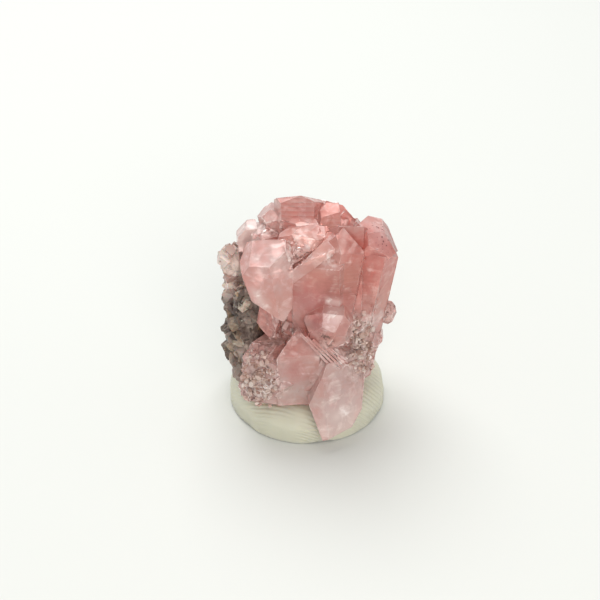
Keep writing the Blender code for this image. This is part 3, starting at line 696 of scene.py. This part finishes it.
FINE_COUNT = 1000
FINE_SIZES = (0.28 * MM, 0.95 * MM)
SEAM_COUNT = 130
SEAM_SIZES = (0.7 * MM, 1.6 * MM)
SEAM_WIDTH = 0.8 * MM
SEAM_GAP = 0.05 * MM
SEAM_TOP = 16.5 * MM
SEAM_FRONT = 2.5 * MM
CHIP_COUNT = 44
CHIP_SIZES = (0.4 * MM, 0.9 * MM)
CHIP_REACH = 0.8                    # chips lie within this share of a break's reach

# Where the crust grows: x, y, z and reach, in mm.
CRUST = ((-4.7, -6.4, 8.8, 1.7), (-5.1, -6.4, 6.4, 2.0), (-4.6, -6.8, 4.6, 1.3),
         (5.3, -4.9, 13.0, 1.2), (5.4, -5.0, 10.8, 1.5), (5.2, -5.2, 8.2, 1.6),
         (5.6, -4.4, 6.4, 1.4))

# One crystal: a six-sided prism whose end is cut by three faces.
bpy.ops.object.select_all(action="DESELECT")
bpy.ops.mesh.primitive_cone_add(vertices=6, radius1=0.30, radius2=0.36, depth=0.8,
                                location=(0, 0, 0.2))
point = bpy.context.object
bpy.ops.object.mode_set(mode="EDIT")
for turn in range(3):
    outward = Vector((math.cos(turn * 2.1 + 0.3), math.sin(turn * 2.1 + 0.3), 0.9)).normalized()
    bpy.ops.mesh.select_all(action="SELECT")
    bpy.ops.mesh.bisect(plane_co=Vector((0, 0, 0.55)), plane_no=outward, use_fill=True,
                        clear_outer=True)
bpy.ops.object.mode_set(mode="OBJECT")


def in_patches(middles, patches):
    """Which places lie within reach of any patch."""
    inside = np.zeros(len(middles), dtype=bool)
    for x, y, z, reach in patches:
        inside |= np.linalg.norm(middles / MM - np.array((x, y, z)), axis=1) < reach
    return inside


def crust(middles):
    """The two patches of druse."""
    return in_patches(middles, CRUST) & ~out_of_sight(middles)


def seam(middles):
    """A strip of the crystals along the rock, at the back."""
    away = np.abs(middles @ np.array(PARTING) - PARTING_REACH)
    height = middles[:, 2]
    beside = (away < SEAM_WIDTH) & (away > SEAM_GAP) & (middles[:, 1] > SEAM_FRONT)
    return beside & (height > ABOVE_PAD) & (height < SEAM_TOP)


def broken_zone(middles):
    """The middles of the breaks."""
    return in_patches(middles, [(x, y, z, reach * CHIP_REACH) for x, y, z, reach, value in BREAKS])


fine = sprinkle("fine_crystals", point, surface_spots(crystals, FINE_COUNT, 31, crust),
                FINE_SIZES, sunk=0.30, tilt=0.6, seed=32)
seam_points = sprinkle("seam_crystals", point, surface_spots(crystals, SEAM_COUNT, 33, seam),
                       SEAM_SIZES, sunk=0.15, tilt=0.5, seed=34)
chips = sprinkle("cleavage_chips", chip, surface_spots(crystals, CHIP_COUNT, 35, broken_zone),
                 CHIP_SIZES, sunk=0.42, tilt=0.35, seed=36)
join([chips, seam_points])
bpy.data.objects.remove(point)
bpy.data.objects.remove(chip)

# Drusy calcite, as it grew: small glassy points, pink or, where there is rock dust, beige.
druse, tree, shader = new_material("drusy_calcite", Roughness=0.2, IOR=CALCITE_IOR,
                                   Transmission_Weight=0.3)
fine.data.materials.append(druse)
paint(fine, "beige", 0.0, ((-4.6, -6.4, 7.0, 5.0, 1), (5.4, -4.8, 9.5, 4.5, 1)))
tone, beige = (node(tree, "Attribute", attribute_name=name).outputs["Fac"]
               for name in ("grain_tone", "beige"))
pink = node(tree, "ValToRGB", {"Fac": tone}, stops=((0.0, "ecbab0"), (1.0, "f3d6cf")))
buff = node(tree, "ValToRGB", {"Fac": tone},
            stops=((0.0, "b08a7c"), (0.4, "dfbcae"), (1.0, "f6e8df")))
hue = node(tree, "Mix", {"Factor": beige, COLOUR_A: pink.outputs["Color"],
                         COLOUR_B: buff.outputs["Color"]}, data_type="RGBA")
tree.links.new(hue.outputs[MIXED], shader.inputs["Base Color"])
absorb = node(tree, "VolumeAbsorption", Color=CALCITE_TINT, Density=TINT_DENSITY)
tree.links.new(absorb.outputs[0], tree.nodes["Material Output"].inputs["Volume"])
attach(fine, "root")
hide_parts("calcite_crystals")

# The chips and the crystals of the seam are the same calcite as the large ones.
paint(chips, "cobalt_and_light", 0.5)
paint(chips, "frost_and_highlight", 0.3)
chips.data.materials.append(calcite)
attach(chips, "root")
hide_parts("calcite_crystals")

# ---- The putty -----------------------------------------------------------------------------
# Cream mineral putty, pressed down by hand round the foot of the specimen: a low uneven pad
# with a rounded rim.  Skin ridges are printed in it where the thumb pressed.

PAD_HEIGHT = 3.5 * MM
PAD_BLANK_RADIUS = 8.15 * MM
PAD_RADIUS = 8.0 * MM
PAD_ROUNDING = 2.4 * MM
FINEST_PUTTY = 0.16 * MM
DENT = 3.6 * MM
DENT_DEPTH = 0.8 * MM
SKIN_RIDGE = 0.36 * MM              # from one ridge of the thumb's print to the next
RIDGE_HEIGHT = 0.05 * MM
PRINT_PATCH = 4.5 * MM
PUTTY_PATCH = 3.0 * MM

bpy.ops.object.select_all(action="DESELECT")
bpy.ops.mesh.primitive_cylinder_add(vertices=96, radius=PAD_BLANK_RADIUS, depth=PAD_HEIGHT,
                                    location=(0, 0, PAD_HEIGHT / 2))
pad = bpy.context.object
pad.name = "putty_pad"
bpy.ops.object.transform_apply(location=True, rotation=True, scale=True)
bpy.ops.object.mode_set(mode="EDIT")
bpy.ops.mesh.select_mode(type="EDGE")
bpy.ops.mesh.select_all(action="DESELECT")
bpy.ops.object.mode_set(mode="OBJECT")
heights = read(pad.data.vertices, "co", 3)[:, 2]
ends = read(pad.data.edges, "vertices", 2, np.int32)
pad.data.edges.foreach_set("select", (heights[ends] > PAD_HEIGHT / 2).all(axis=1))
bpy.ops.object.mode_set(mode="EDIT")
bpy.ops.mesh.bevel(offset=PAD_ROUNDING, segments=8, profile=0.5)
bpy.ops.object.mode_set(mode="OBJECT")
apply_modifier(pad, "REMESH", "even_skin", mode="VOXEL", voxel_size=FINEST_PUTTY)
relief(pad, "pressed_dents", "CLOUDS", size=DENT, height=DENT_DEPTH, level=0.70, noise_depth=1)
points = read(pad.data.vertices, "co", 3)
points[:, 2] = np.clip(points[:, 2], 0.0, PAD_HEIGHT)
points[:, :2] *= np.minimum(1, PAD_RADIUS / np.hypot(points[:, 0], points[:, 1]))[:, None]
pad.data.vertices.foreach_set("co", points.ravel())
keep_inside(pad)
bpy.ops.object.shade_smooth()

# Mineral putty, kneaded and pressed by hand: cream, with a soft satin look and fine ridges.
putty, tree, shader = new_material("mineral_putty", Roughness=0.55, Subsurface_Weight=0.4,
                                   Subsurface_Radius=(1.0, 0.9, 0.6), Subsurface_Scale=0.0008)
pad.data.materials.append(putty)
place = node(tree, "TexCoord").outputs["Object"]
centre = node(tree, "Mapping", {"Vector": place}, Location=(4.0 * MM, 11.0 * MM, 9.0 * MM))
ridges = node(tree, "TexWave", {"Vector": centre.outputs[0]}, wave_type="RINGS",
              rings_direction="SPHERICAL", Scale=WAVE / SKIN_RIDGE, Distortion=5.0, Detail=3.0,
              Detail_Scale=0.3)
patches = node(tree, "TexNoise", {"Vector": place}, Scale=1 / PRINT_PATCH, Detail=1.0)
pressed = node(tree, "MapRange", {"Value": patches.outputs["Fac"]}, From_Min=0.38, From_Max=0.56,
               To_Min=0.12)
cast = node(tree, "TexNoise", {"Vector": place}, Scale=1 / PUTTY_PATCH, Detail=3.0)
tint = node(tree, "Mix", {"Factor": cast.outputs["Fac"], COLOUR_A: linear("cbcab8"),
                          COLOUR_B: linear("dcdac6")}, data_type="RGBA")
tree.links.new(tint.outputs[MIXED], shader.inputs["Base Color"])
press = node(tree, "Bump", {"Height": ridges.outputs["Fac"], "Strength": pressed.outputs[0]},
             Distance=RIDGE_HEIGHT)
tree.links.new(press.outputs["Normal"], shader.inputs["Normal"])
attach(pad, "root")
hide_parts("mounting_putty")
